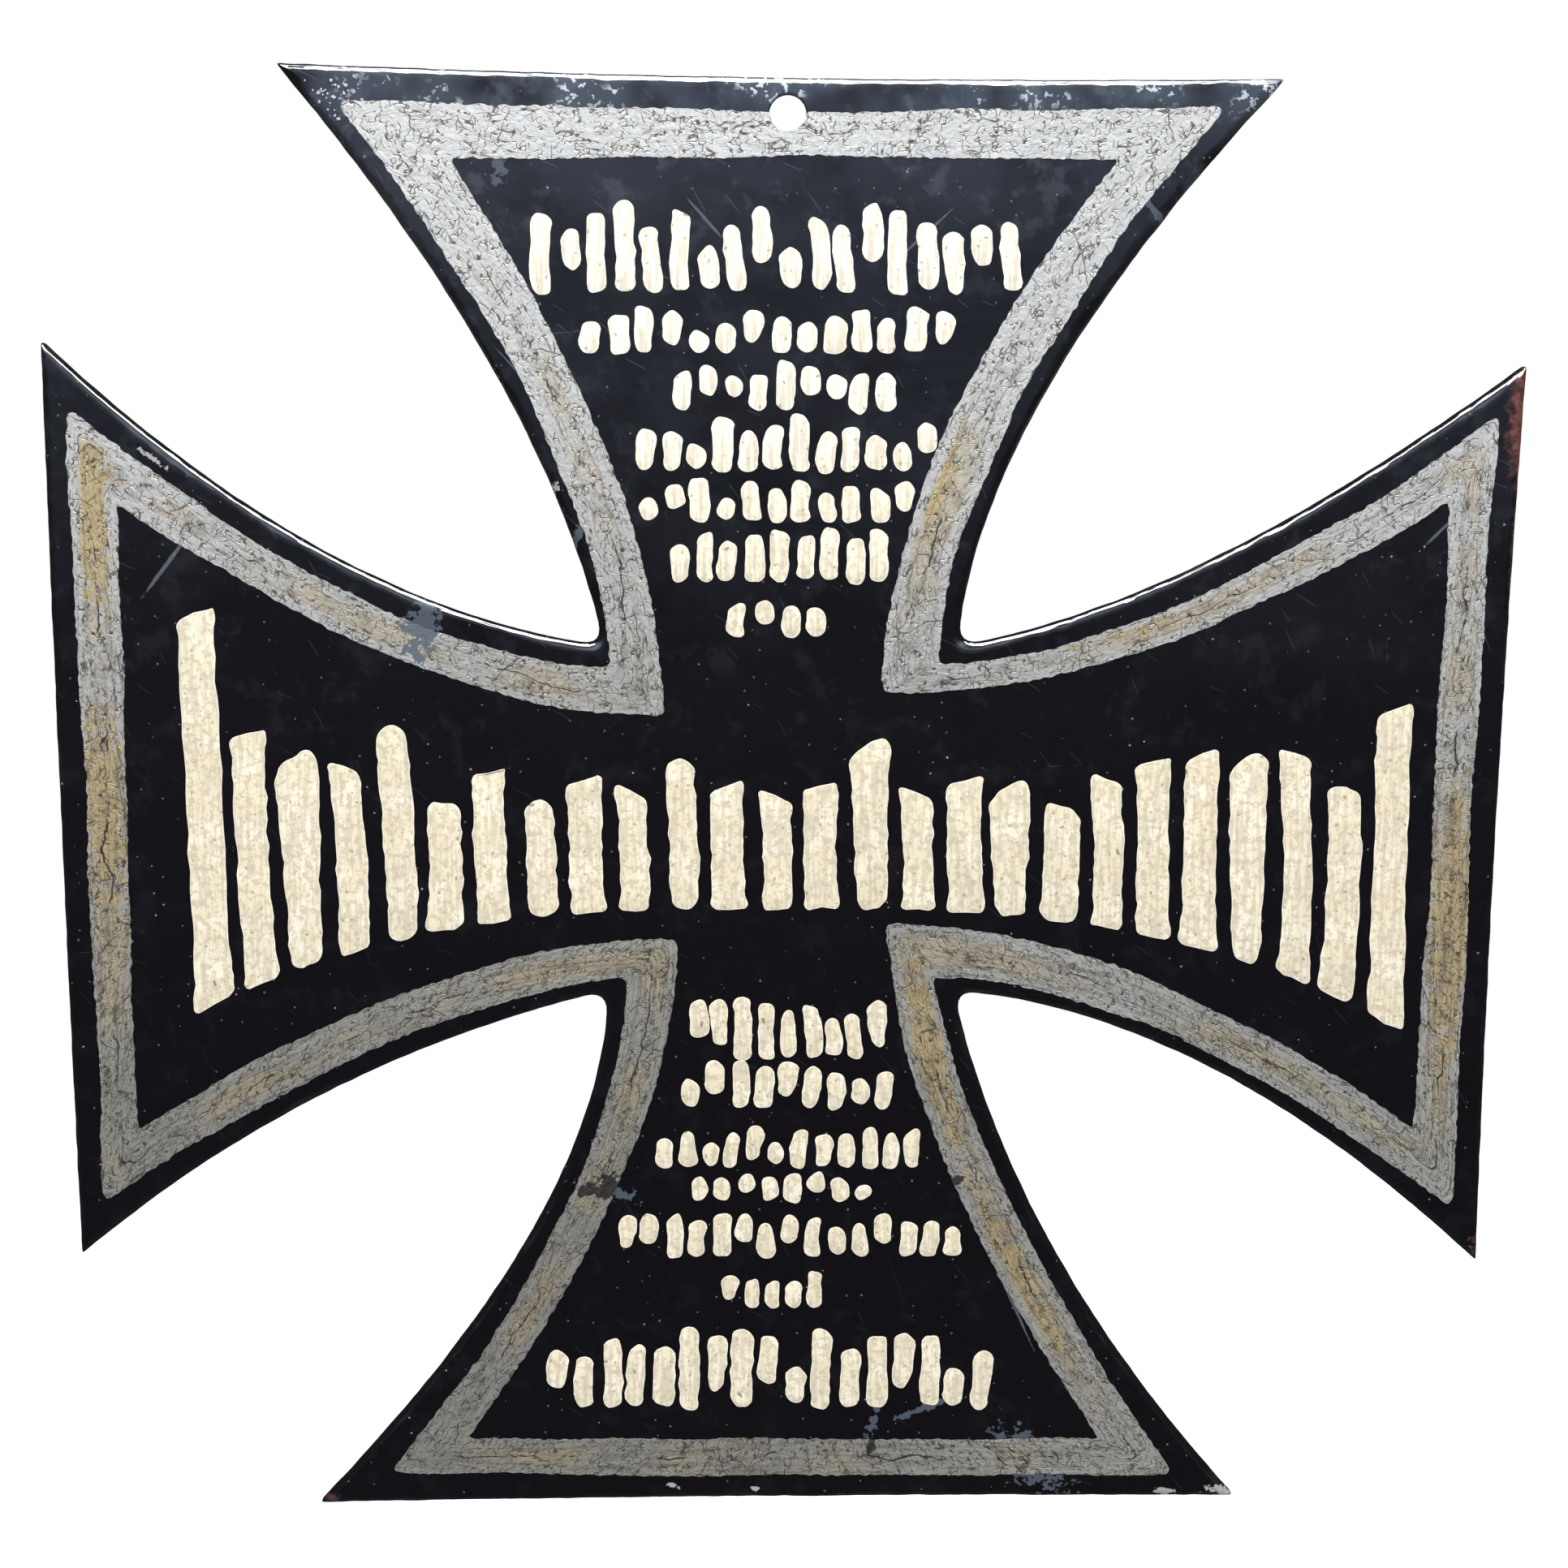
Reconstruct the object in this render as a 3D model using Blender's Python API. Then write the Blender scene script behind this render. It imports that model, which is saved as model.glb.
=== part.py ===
"""A flat memorial cross with four flared arms, cut by hand from one steel plate and hung by one hole.

Metres, +Z up. X runs along the width and Y through the thickness. The front faces -Y. The origin is the
centre of the hanging hole on the plate's back face.
"""
import math
from collections import namedtuple

import bmesh
import bpy
from mathutils import Vector

PLATE_THICKNESS = 0.003
ARRIS_ROUND = 0.0006  # rounding of the front and back edges under the paint
ARM_REACH = 0.1253  # from the middle of the cross to the end of an arm
UPRIGHT_END_HALF = 0.0836  # half the width of the top and bottom arms at their ends
SIDE_END_HALF = 0.0799  # half the width of the left and right arms at their ends
NECK_HALF = 0.0305  # half the width of the arms where they meet
SIDE_BOW = 0.0076  # how far a curved side bows in from a straight line
SIDE_PEAK = 0.39  # how far along a curved side its pull inwards is centred, out of 1, from the inner corner
END_DIP = 0.0005  # how far the end of an arm bows in
TIP_CUT = 0.0012  # length of edge that the rounding of an outer tip takes up
NOTCH_CUT = 0.004  # length of edge that the rounding of an inner corner takes up
HOLE_DIAMETER = 0.006
HOLE_FROM_EDGE = 0.00585  # from the hole's centre up to the top edge
HOLE_FROM_MIDDLE = 0.0012  # the hole is drilled a little to the right of the middle

# The cross was cut by hand, so each arm departs a little from the sizes above.
# Right and left are as seen from the middle, looking out along the arm.
Arm = namedtuple("Arm", "turn end_half reach_right reach_left half_right half_left "
                        "bow_right bow_left peak_right peak_left dip")
RIGHT_ARM = Arm(0, SIDE_END_HALF, -0.0006, 0.0003, 0.0005, -0.0019, 0.0013, -0.0016, 0, -0.02, 0.0003)
TOP_ARM = Arm(90, UPRIGHT_END_HALF, -0.0011, 0.0015, 0.0001, 0, 0.001, -0.001, -0.05, 0, 0.0006)
LEFT_ARM = Arm(180, SIDE_END_HALF, -0.0009, 0, 0.0021, -0.0008, 0.001, -0.0013, 0.025, 0.1, -0.0007)
BOTTOM_ARM = Arm(270, UPRIGHT_END_HALF, 0.001, -0.0004, 0.0008, -0.0009, 0.0016, -0.0009, -0.065, 0.05, 0)
ARMS = (RIGHT_ARM, TOP_ARM, LEFT_ARM, BOTTOM_ARM)

CURVE_ERROR = 0.00002  # how far the straight pieces of a curved side may stray from it
CORNER_STEPS = 6
HOLE_SIDES = 32
ARRIS_SEGMENTS = 2
CUTTER_MARGIN = 0.002  # how far the hole's cutter stands out of each face

BLACK_ENAMEL = (0.012, 0.012, 0.015, 1.0)
ENAMEL_ROUGHNESS = 0.2

# A corner of the outline, the edge that its rounding takes up, and the bow and peak of the side after it.
Corner = namedtuple("Corner", "point cut bow peak")


def corners():
    """The outline's twelve sharp corners about the middle, counter-clockwise as seen from the front."""
    found = []
    for arm in ARMS:
        turn = math.radians(arm.turn)
        outward = Vector((math.cos(turn), math.sin(turn)))
        left = Vector((-outward.y, outward.x))
        notch = (outward - left) * NECK_HALF
        right_tip = outward * (ARM_REACH + arm.reach_right) - left * (arm.end_half + arm.half_right)
        left_tip = outward * (ARM_REACH + arm.reach_left) + left * (arm.end_half + arm.half_left)
        right_peak = SIDE_PEAK + arm.peak_right
        left_peak = 1 - SIDE_PEAK - arm.peak_left
        found.append(Corner(notch, NOTCH_CUT, SIDE_BOW + arm.bow_right, right_peak))
        found.append(Corner(right_tip, TIP_CUT, END_DIP + arm.dip, 0.5))
        found.append(Corner(left_tip, TIP_CUT, SIDE_BOW + arm.bow_left, left_peak))
    return found


def curve_points(start, pull, end, first, last, count):
    """Points of the curve from start to end that is pulled towards a third point."""
    points = []
    for i in range(count + 1):
        t = first + (last - first) * i / count
        points.append(start * (1 - t) ** 2 + pull * (2 * t * (1 - t)) + end * t ** 2)
    return points


def bowed_side(corner, following):
    """Points of the side between two corners, bowed in towards the plate and cut short at both ends."""
    start, end = corner.point, following.point
    along = end - start
    inward = Vector((-along.y, along.x)).normalized()
    pull = start + along * corner.peak + inward * (2 * corner.bow)
    first = corner.cut / (2 * (pull - start).length)
    last = 1 - following.cut / (2 * (end - pull).length)
    count = math.ceil(math.sqrt((start + end - pull * 2).length / (4 * CURVE_ERROR)))
    return curve_points(start, pull, end, first, last, count)


def rounded_corner(before, corner, after):
    """Points of the curve that rounds a corner, without its two ends."""
    return curve_points(before, corner, after, 0, 1, CORNER_STEPS)[1:-1]


def outline():
    """The plate's outline about its middle, counter-clockwise as seen from the front."""
    found = corners()
    sides = [bowed_side(corner, found[(i + 1) % len(found)]) for i, corner in enumerate(found)]
    points = []
    for i, corner in enumerate(found):
        points += rounded_corner(sides[i - 1][-1], corner.point, sides[i][0])
        points += sides[i]
    return points


def hole_in_outline():
    """Where the hole's centre lies from the middle of the cross."""
    top_edge = ARM_REACH + (TOP_ARM.reach_right + TOP_ARM.reach_left) / 2 - END_DIP - TOP_ARM.dip
    return Vector((HOLE_FROM_MIDDLE, top_edge - HOLE_FROM_EDGE))


def enamel():
    material = bpy.data.materials.new("black_enamel")
    material.use_nodes = True
    shader = material.node_tree.nodes["Principled BSDF"]
    shader.inputs["Base Color"].default_value = BLACK_ENAMEL
    shader.inputs["Roughness"].default_value = ENAMEL_ROUGHNESS
    shader.inputs["Metallic"].default_value = 0.0
    material.diffuse_color = BLACK_ENAMEL
    return material


def new_object(name, shape):
    mesh = bpy.data.meshes.new(name)
    shape.to_mesh(mesh)
    shape.free()
    thing = bpy.data.objects.new(name, mesh)
    bpy.context.collection.objects.link(thing)
    return thing


def hole_cutter():
    """A cylinder on the Y axis through the origin, where the hanging hole is drilled."""
    shape = bmesh.new()
    depth = PLATE_THICKNESS + 2 * CUTTER_MARGIN
    bmesh.ops.create_cone(shape, cap_ends=True, segments=HOLE_SIDES, radius1=HOLE_DIAMETER / 2,
                          radius2=HOLE_DIAMETER / 2, depth=depth)
    cutter = new_object("hole_cutter", shape)
    cutter.rotation_euler.x = math.radians(90)
    cutter.location.y = -PLATE_THICKNESS / 2
    cutter.hide_render = True
    cutter.display_type = "WIRE"
    return cutter


def cross_plate():
    """The plate: its outline extruded to the front, drilled, and rounded along every edge."""
    hole = hole_in_outline()
    shape = bmesh.new()
    rim = [shape.verts.new((point.x - hole.x, 0, point.y - hole.y)) for point in outline()]
    back = shape.faces.new(rim)
    front = bmesh.ops.extrude_face_region(shape, geom=[back])["geom"]
    moved = [item for item in front if isinstance(item, bmesh.types.BMVert)]
    bmesh.ops.translate(shape, verts=moved, vec=(0, -PLATE_THICKNESS, 0))
    bmesh.ops.recalc_face_normals(shape, faces=shape.faces)
    plate = new_object("cross_plate", shape)
    plate.data.materials.append(enamel())
    plate.data.shade_smooth()

    drill = plate.modifiers.new("hanging_hole", "BOOLEAN")
    drill.operation = "DIFFERENCE"
    drill.solver = "EXACT"
    drill.object = hole_cutter()

    arris = plate.modifiers.new("arris", "BEVEL")
    arris.width = ARRIS_ROUND
    arris.segments = ARRIS_SEGMENTS
    arris.limit_method = "ANGLE"
    arris.angle_limit = math.radians(60)
    arris.harden_normals = True
    return plate


def main():
    for old in list(bpy.data.objects):
        bpy.data.objects.remove(old)
    cross_plate()


main()
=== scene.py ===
"""Visual model of a hand-painted memorial cross: enamelled plate, silver line and rows of cream strokes.

Metres, +Z up. The front faces -Y and the origin is the centre of the hanging hole on the plate's back.
"""
import math
import random
from collections import namedtuple

import bmesh
import bpy
from mathutils import Matrix, Vector, noise


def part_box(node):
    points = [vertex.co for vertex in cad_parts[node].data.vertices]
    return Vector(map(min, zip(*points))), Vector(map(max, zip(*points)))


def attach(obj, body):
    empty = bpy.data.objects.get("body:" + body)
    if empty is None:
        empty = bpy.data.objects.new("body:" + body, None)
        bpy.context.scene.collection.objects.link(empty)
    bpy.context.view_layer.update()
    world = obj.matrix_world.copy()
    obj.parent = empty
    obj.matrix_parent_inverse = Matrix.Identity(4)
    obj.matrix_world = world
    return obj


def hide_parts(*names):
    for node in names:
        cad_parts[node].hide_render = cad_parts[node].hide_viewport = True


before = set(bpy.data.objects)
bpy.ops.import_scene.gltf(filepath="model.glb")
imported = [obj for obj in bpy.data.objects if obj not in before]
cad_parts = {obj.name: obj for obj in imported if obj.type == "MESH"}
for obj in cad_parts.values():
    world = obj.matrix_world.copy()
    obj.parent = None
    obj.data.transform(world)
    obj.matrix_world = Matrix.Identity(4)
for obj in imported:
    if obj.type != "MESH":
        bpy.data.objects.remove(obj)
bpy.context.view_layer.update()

bl_info = {
    "name": "Grave cross",
    "version": (1, 0, 0),
    "blender": (4, 5, 0),
    "location": "View3D > Sidebar > Grave cross",
    "description": "Builds a hand-painted memorial cross of enamelled plate",
    "category": "Add Mesh",
}

PLATE_LOW, PLATE_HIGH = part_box("cross_plate")

# The plate's outline, as it was cut.
ARM_REACH = 0.1253
UPRIGHT_END_HALF = 0.0836
SIDE_END_HALF = 0.0799
NECK_HALF = 0.0305
SIDE_BOW = 0.0076
SIDE_PEAK = 0.39
END_DIP = 0.0005
TIP_CUT = 0.0012
NOTCH_CUT = 0.004
HOLE_FROM_EDGE = 0.00585
HOLE_FROM_MIDDLE = 0.0012
NOTCH_GROWTH = 0.5  # how the rounding of an inner corner grows with each metre of inset
TIP_GROWTH = -1.9  # the same for an outer tip
LEAST_CUT = 0.0002
CORNER_STEPS = 6
OUTLINE_LENGTHS = (0.106, 0.165, 0.106)  # about how long the three sides of an arm are
LINE_LENGTHS = (0.106, 0.141, 0.106)  # the same for the silver line
OUTLINE_STEP = 0.0008
FILM_SUNK = 0.00003  # how deep the rim of a paint film lies in the plate
FACE_ON = 0.999  # how squarely a face of the plate looks along the Y axis
SQUARE = 0.0131  # the plate's broad faces are divided into squares of this size
SQUARES_OUT = 9
SLOW_SWELL = 90  # noise cells in a metre of edge
QUICK_SWELL = 400
DRILL_LENGTH = 0.02
DRILL_SIDES = 64

Arm = namedtuple("Arm", "turn end_half reach_right reach_left half_right half_left "
                        "bow_right bow_left peak_right peak_left dip")
RIGHT_ARM = Arm(0, SIDE_END_HALF, -0.0006, 0.0003, 0.0005, -0.0019, 0.0013, -0.0016, 0, -0.02, 0.0003)
TOP_ARM = Arm(90, UPRIGHT_END_HALF, -0.0011, 0.0015, 0.0001, 0, 0.001, -0.001, -0.05, 0, 0.0006)
LEFT_ARM = Arm(180, SIDE_END_HALF, -0.0009, 0, 0.0021, -0.0008, 0.001, -0.0013, 0.025, 0.1, -0.0007)
BOTTOM_ARM = Arm(270, UPRIGHT_END_HALF, 0.001, -0.0004, 0.0008, -0.0009, 0.0016, -0.0009, -0.065, 0.05, 0)
ARMS = (RIGHT_ARM, TOP_ARM, LEFT_ARM, BOTTOM_ARM)

# One arm's stretch of an edge of the silver line: the inner corner before it, its two tips, and its bows.
Stretch = namedtuple("Stretch", "turn notch_out notch_side reach_right half_right reach_left half_left "
                                "bow_right dip bow_left")
LINE_OUTER = (
    Stretch(0, 0.0264, 0.028, 0.1193, 0.0701, 0.1208, 0.0698, 0.0082, 0.0004, 0.0077),
    Stretch(90, 0.0272, 0.0267, 0.1196, 0.0736, 0.1208, 0.0735, 0.008, 0.0013, 0.0075),
    Stretch(180, 0.0293, 0.0267, 0.1204, 0.0708, 0.1205, 0.0689, 0.0077, 0.0002, 0.0062),
    Stretch(270, 0.0278, 0.0271, 0.1199, 0.0712, 0.1202, 0.0713, 0.0081, -0.0003, 0.0049),
)
LINE_INNER = (
    Stretch(0, 0.0182, 0.0184, 0.1119, 0.0554, 0.1134, 0.0548, 0.008, -0.0003, 0.0077),
    Stretch(90, 0.0228, 0.0176, 0.1112, 0.0559, 0.1112, 0.0548, 0.0081, -0.0002, 0.0069),
    Stretch(180, 0.0201, 0.0187, 0.1126, 0.0549, 0.1139, 0.0553, 0.0079, 0.0002, 0.0072),
    Stretch(270, 0.021, 0.0182, 0.1135, 0.0568, 0.1136, 0.0578, 0.0075, 0.0001, 0.0064),
)
LINE_PEAK = 0.37
OUTER_TIP_CUT = 0.0026
INNER_TIP_CUT = 0.0012
LINE_NOTCH_CUT = 0.0012

# A corner of a loop, the edge that its rounding takes up, and the bow and peak of the side after it.
Corner = namedtuple("Corner", "point cut bow peak")

# A row of small strokes: its foot and top above the middle of the cross, its ends, and how many strokes.
Row = namedtuple("Row", "foot top left right count")
UPPER_ROWS = (
    Row(0.0895, 0.105, -0.042, 0.0405, 18),
    Row(0.0795, 0.0875, -0.034, 0.0295, 14),
    Row(0.07, 0.0785, -0.0185, 0.02, 9),
    Row(0.06, 0.0695, -0.025, 0.027, 12),
    Row(0.0515, 0.059, -0.0245, 0.023, 11),
    Row(0.0415, 0.0505, -0.0195, 0.019, 9),
    Row(0.032, 0.039, -0.0095, 0.0085, 4),
)
LOWER_ROWS = (
    Row(-0.0425, -0.0305, -0.0165, 0.019, 9),
    Row(-0.0515, -0.0415, -0.018, 0.0205, 9),
    Row(-0.0625, -0.0535, -0.0225, 0.0255, 12),
    Row(-0.0685, -0.063, -0.0165, 0.0165, 8),
    Row(-0.079, -0.07, -0.0295, 0.033, 15),
    Row(-0.0885, -0.082, -0.011, 0.008, 5),
    Row(-0.1075, -0.092, -0.0425, 0.0385, 17),
)

# How a brush stroke departs from a straight bar: its length and width against the common ones, the widths of
# its head and foot against its own, how far those run along it, the slant of its head, its turn in radians,
# its bow against its length, how round its ends are, and how high it may stand off the foot of its row.
Brush = namedtuple("Brush", "length wide head foot flare slant turn bow round lifts", defaults=((0,),))
SMALL_BRUSHES = (
    Brush(0.76, 1.0, 1.05, 1.0, 0.4, 0, 0.03, 0, 0.95),
    Brush(0.6, 1.0, 0.9, 1.1, 0.5, 0.2, 0.06, 0.03, 1, (0.02, 0.3)),
    Brush(0.72, 0.95, 1.0, 1.0, 0.4, 0, 0.12, 0, 0.95),
    Brush(0.98, 1.0, 1.08, 0.95, 0.4, 0.2, 0.02, 0.01, 0.85),
    Brush(0.78, 0.95, 0.95, 1.0, 0.5, -0.2, 0.07, 0.05, 0.95),
    Brush(0.72, 1.04, 0.6, 1.08, 0.9, 0, 0.02, 0.02, 1, (0, 0.05)),
    Brush(0.7, 1.04, 1.08, 0.65, 0.9, 0, 0.07, -0.02, 1, (0, 0.2)),
    Brush(0.45, 1.0, 1.05, 0.9, 0.5, 0.3, 0.1, 0.02, 1, (0.05, 0.25)),
    Brush(0.86, 0.92, 1.08, 1.12, 0.3, -0.2, 0.0, -0.02, 0.8),
)
TALL_BRUSHES = (
    Brush(1.0, 1.06, 1.04, 1.16, 0.2, 0.4, 0.01, 0, 0.35),
    Brush(0.93, 0.86, 1.15, 1.1, 0.25, -0.4, 0.03, 0.015, 0.4),
    Brush(0.84, 0.9, 0.95, 0.9, 0.3, 0.1, 0.04, 0.012, 0.95),
    Brush(0.9, 1.12, 0.66, 1.08, 0.9, 0, -0.02, 0, 1),
    Brush(1.0, 0.96, 1.12, 1.16, 0.2, 0.3, 0.02, -0.008, 0.35),
    Brush(0.95, 1.08, 1.1, 0.76, 0.8, 0.5, 0.02, 0, 0.85),
    Brush(0.78, 0.98, 1.0, 1.15, 0.3, -0.2, -0.01, 0.02, 0.6),
)

# The middle row: its ends, and the strokes in it that stand taller than the rest, by place and height.
TALL_LEFT = -0.1035
TALL_RIGHT = 0.1095
TALL_ONES = ((-0.0995, 0.036), (-0.0665, 0.0235), (-0.0175, 0.016), (0.0155, 0.0152), (0.1055, 0.0195))

# The curves that the middle row's feet and tops follow, by the distance from the middle of the cross.
FEET = -0.0155
FEET_DROP = 0.0222
FEET_POWER = 2.8
TOPS = 0.0062
TOPS_RISE = 0.0135
TOPS_POWER = 2.2

LONG_STROKE = 0.014  # a stroke longer than this is drawn with more points
LONG_SIDES = 96
SHORT_SIDES = 32
LIP_WIDTH = 0.00028
LEAST_FLARE = 0.0001
FLARE_POWER = 1.6
END_POINT = 0.02  # a circle's point nearer its axis than this share of the radius is an end of the stroke

NIB_CLUSTER = (-0.0744, 0.1212)

# A light: its place, its two sides, its power in watts, its colour, and whether glossy faces mirror it.
Lamp = namedtuple("Lamp", "name where size power colour mirrored")
LAMPS = (
    Lamp("key", (0.07, -0.54, 0.9), (1.6, 0.34), 20, (1, 0.99, 0.97), True),
    Lamp("overhead", (0.05, -0.12, 1.0), (0.6, 0.36), 9, (0.95, 0.98, 1), True),
    Lamp("front_fill", (-0.35, -1.0, 0.2), (0.8, 0.8), 4, (1, 0.985, 0.95), False),
    Lamp("back", (0.3, 1.6, 1.1), (1.2, 1.2), 30, (1, 1, 1), False),
)

# The sky that the object mirrors, from straight below to straight above.
SKY_ENDS = ((0.0, (0.03, 0.03, 0.034, 1)), (1.0, (0.02, 0.02, 0.022, 1)))
SKY_BETWEEN = ((0.36, (0.02, 0.02, 0.024, 1)), (0.47, (0.06, 0.07, 0.09, 1)), (0.56, (0.42, 0.52, 0.72, 1)),
               (0.7, (0.8, 0.9, 1.1, 1)), (0.84, (0.2, 0.22, 0.26, 1)))
SKY_DARK = (0.02, 0.02, 0.02, 1)
CAMERA_PLACE = (-0.00063, -0.3746, -0.0548)
CAMERA_PITCH = 81.25

# One stroke: its middle, length, width and brush, the side that it leans to, and the slope under its foot.
Stroke = namedtuple("Stroke", "x z length width brush side slope")


def metres(name, description, default):
    return bpy.props.FloatProperty(name=name, description=description, default=default, unit="LENGTH")


def ratio(name, description, default):
    return bpy.props.FloatProperty(name=name, description=description, default=default)


def paint(name, description, default):
    return bpy.props.FloatVectorProperty(name=name, description=description, default=default,
                                         subtype="COLOR", size=4)


class CrossSizes(bpy.types.PropertyGroup):
    plate: metres("Plate", "Thickness of the plate under the paint films", 0.0028)
    arris: metres("Arris", "Rounding of the plate's front edge under the enamel", 0.0012)
    back_arris: metres("Back arris", "Rounding of the plate's back edge", 0.0006)
    arris_swell: ratio("Arris swell", "Share by which the rounding grows and shrinks along the edge", 0.45)
    arris_waver: metres("Arris waver", "How far the enamel on the edges sinks and swells", 0.00025)
    hole: metres("Hole", "Diameter of the hanging hole", 0.006)
    line_film: metres("Silver film", "Mean thickness of the silver line", 0.00011)
    line_pitch: metres("Silver pitch", "Spacing of the silver line's mesh along its length", 0.00042)
    line_wrinkle: metres("Silver wrinkle", "Height of the wrinkles in the silver paint", 0.00005)
    stroke_film: metres("Stroke film", "Thickness of the cream strokes", 0.0002)
    stroke_share: ratio("Stroke share", "Width of a small stroke against its share of the row", 0.76)
    stem_width: metres("Stem width", "Width of a tall stroke of the middle row", 0.0059)
    stem_pitch: metres("Stem pitch", "Spacing of the tall strokes", 0.0082)
    nibs: bpy.props.IntProperty(
        name="Nibs", description="How many specks of dust are caught in the enamel",
        default=190)


class CrossColours(bpy.types.PropertyGroup):
    enamel: paint("Enamel", "Black enamel", (0.0042, 0.0036, 0.0046, 1))
    # Laid on the enamel as dust and as a painted sheen that grows towards the top.
    dust_and_sheen: paint("Haze", "Dust and fine scuffing on the enamel", (0.085, 0.1, 0.13, 1))
    rust: paint("Rust", "Worn edges", (0.3, 0.11, 0.085, 1))
    silver: paint("Silver", "Silver paint", (0.8, 0.79, 0.755, 1))
    gold: paint("Gold", "Yellowed varnish over the silver paint", (0.68, 0.52, 0.26, 1))
    cream: paint("Cream", "Cream stroke paint", (0.86, 0.81, 0.67, 1))
    # Darker, yellower cream for the lower strokes.
    cream_low: paint("Lower cream", "Cream stroke paint lower on the cross", (0.66, 0.59, 0.43, 1))


def place(x, z, y=0.0):
    """A point given from the middle of the cross, as seen from the front, in the frame of the hole."""
    hole = hole_in_outline()
    return Vector((x - hole.x, y, z - hole.y))


def sizes():
    return bpy.context.scene.cross_sizes


def colours():
    return bpy.context.scene.cross_colours


# Outlines


def hole_in_outline():
    """Where the hole's centre lies from the middle of the cross."""
    top_edge = ARM_REACH + (TOP_ARM.reach_right + TOP_ARM.reach_left) / 2 - END_DIP - TOP_ARM.dip
    return Vector((HOLE_FROM_MIDDLE, top_edge - HOLE_FROM_EDGE))


def curve_points(start, pull, end, first, last, count):
    """Points of the curve from start to end that is pulled towards a third point."""
    points = []
    for i in range(count + 1):
        t = first + (last - first) * i / count
        points.append(start * (1 - t) ** 2 + pull * (2 * t * (1 - t)) + end * t ** 2)
    return points


def directions(turn):
    """The way an arm points, and the way to its left as seen from the middle looking out along it."""
    outward = Vector((math.cos(math.radians(turn)), math.sin(math.radians(turn))))
    return outward, Vector((-outward.y, outward.x))


def inset_points(points, inset):
    """The corners of a closed loop of straight pieces, each moved inwards so that every piece moves alike."""
    moved = []
    for i, point in enumerate(points):
        before = (point - points[i - 1]).normalized()
        after = (points[(i + 1) % len(points)] - point).normalized()
        inward = Vector((-before.y - after.y, before.x + after.x))
        moved.append(point + inward * (inset / (1 + before.dot(after))))
    return moved


def rounded_loop(corners, counts, inset=0.0):
    """A closed loop of bowed sides with rounded corners: the same number of points for every inset."""
    frame_points = []
    for i, corner in enumerate(corners):
        along = corners[(i + 1) % len(corners)].point - corner.point
        inward = Vector((-along.y, along.x)).normalized()
        frame_points += [corner.point, corner.point + along * corner.peak + inward * (2 * corner.bow)]
    frame_points = inset_points(frame_points, inset)
    cuts = []
    for i, corner in enumerate(corners):
        growth = NOTCH_GROWTH if i % 3 == 0 else TIP_GROWTH
        cuts.append(max(corner.cut + inset * growth, LEAST_CUT))
    sides = []
    for i in range(len(corners)):
        start, pull = frame_points[2 * i], frame_points[2 * i + 1]
        end = frame_points[(2 * i + 2) % len(frame_points)]
        first = cuts[i] / (2 * (pull - start).length)
        last = 1 - cuts[(i + 1) % len(corners)] / (2 * (end - pull).length)
        sides.append(curve_points(start, pull, end, first, last, counts[i % 3]))
    points = []
    for i, side in enumerate(sides):
        points += curve_points(sides[i - 1][-1], frame_points[2 * i], side[0], 0, 1, CORNER_STEPS)[1:-1]
        points += side
    return points


def plate_outline(spacing, inset=0.0):
    """The plate's rounded outline about the middle of the cross, counter-clockwise from the front."""
    found = []
    for arm in ARMS:
        outward, left = directions(arm.turn)
        notch = (outward - left) * NECK_HALF
        right_tip = outward * (ARM_REACH + arm.reach_right) - left * (arm.end_half + arm.half_right)
        left_tip = outward * (ARM_REACH + arm.reach_left) + left * (arm.end_half + arm.half_left)
        found.append(Corner(notch, NOTCH_CUT, SIDE_BOW + arm.bow_right, SIDE_PEAK + arm.peak_right))
        found.append(Corner(right_tip, TIP_CUT, END_DIP + arm.dip, 0.5))
        found.append(Corner(left_tip, TIP_CUT, SIDE_BOW + arm.bow_left, 1 - SIDE_PEAK - arm.peak_left))
    counts = [math.ceil(length / spacing) for length in OUTLINE_LENGTHS]
    return rounded_loop(found, counts, inset)


def line_edge(stretches, counts, tip_cut):
    """An edge of the silver line about the middle of the cross, with the given steps on each side."""
    found = []
    for part in stretches:
        outward, left = directions(part.turn)
        notch = outward * part.notch_out - left * part.notch_side
        right_tip = outward * part.reach_right - left * part.half_right
        left_tip = outward * part.reach_left + left * part.half_left
        found.append(Corner(notch, LINE_NOTCH_CUT, part.bow_right, LINE_PEAK))
        found.append(Corner(right_tip, tip_cut, part.dip, 0.5))
        found.append(Corner(left_tip, tip_cut, part.bow_left, 1 - LINE_PEAK))
    return rounded_loop(found, counts)


def waver(point, wave, amount, seed):
    """A smooth shift in the plane of the plate, at most about the given amount."""
    at = Vector((point.x / wave, point.y / wave, seed))
    return Vector((noise.noise(at), noise.noise(at + Vector((31.7, 11.3, 5.1))))) * amount


def inside(point, loop):
    """True where a point lies inside a closed loop."""
    found = False
    for i, b in enumerate(loop):
        a = loop[i - 1]
        if (a.y > point.y) != (b.y > point.y):
            if point.x < a.x + (point.y - a.y) * (b.x - a.x) / (b.y - a.y):
                found = not found
    return found


# Modelling


def clear():
    if bpy.context.mode != "OBJECT":
        bpy.ops.object.mode_set(mode="OBJECT")
    bpy.ops.object.select_all(action="DESELECT")


def active(name=None):
    thing = bpy.context.view_layer.objects.active
    if name:
        thing.name = name
        thing.data.name = name
    return thing


def edit(select="NOTHING"):
    """Opens the active mesh in edit mode and gives back its mesh, all or nothing selected."""
    bpy.ops.object.mode_set(mode="EDIT")
    bpy.ops.mesh.select_mode(type="VERT")
    bpy.ops.mesh.select_all(action="SELECT" if select == "ALL" else "DESELECT")
    return bmesh.from_edit_mesh(bpy.context.object.data)


def done():
    bpy.ops.object.mode_set(mode="OBJECT")


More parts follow.
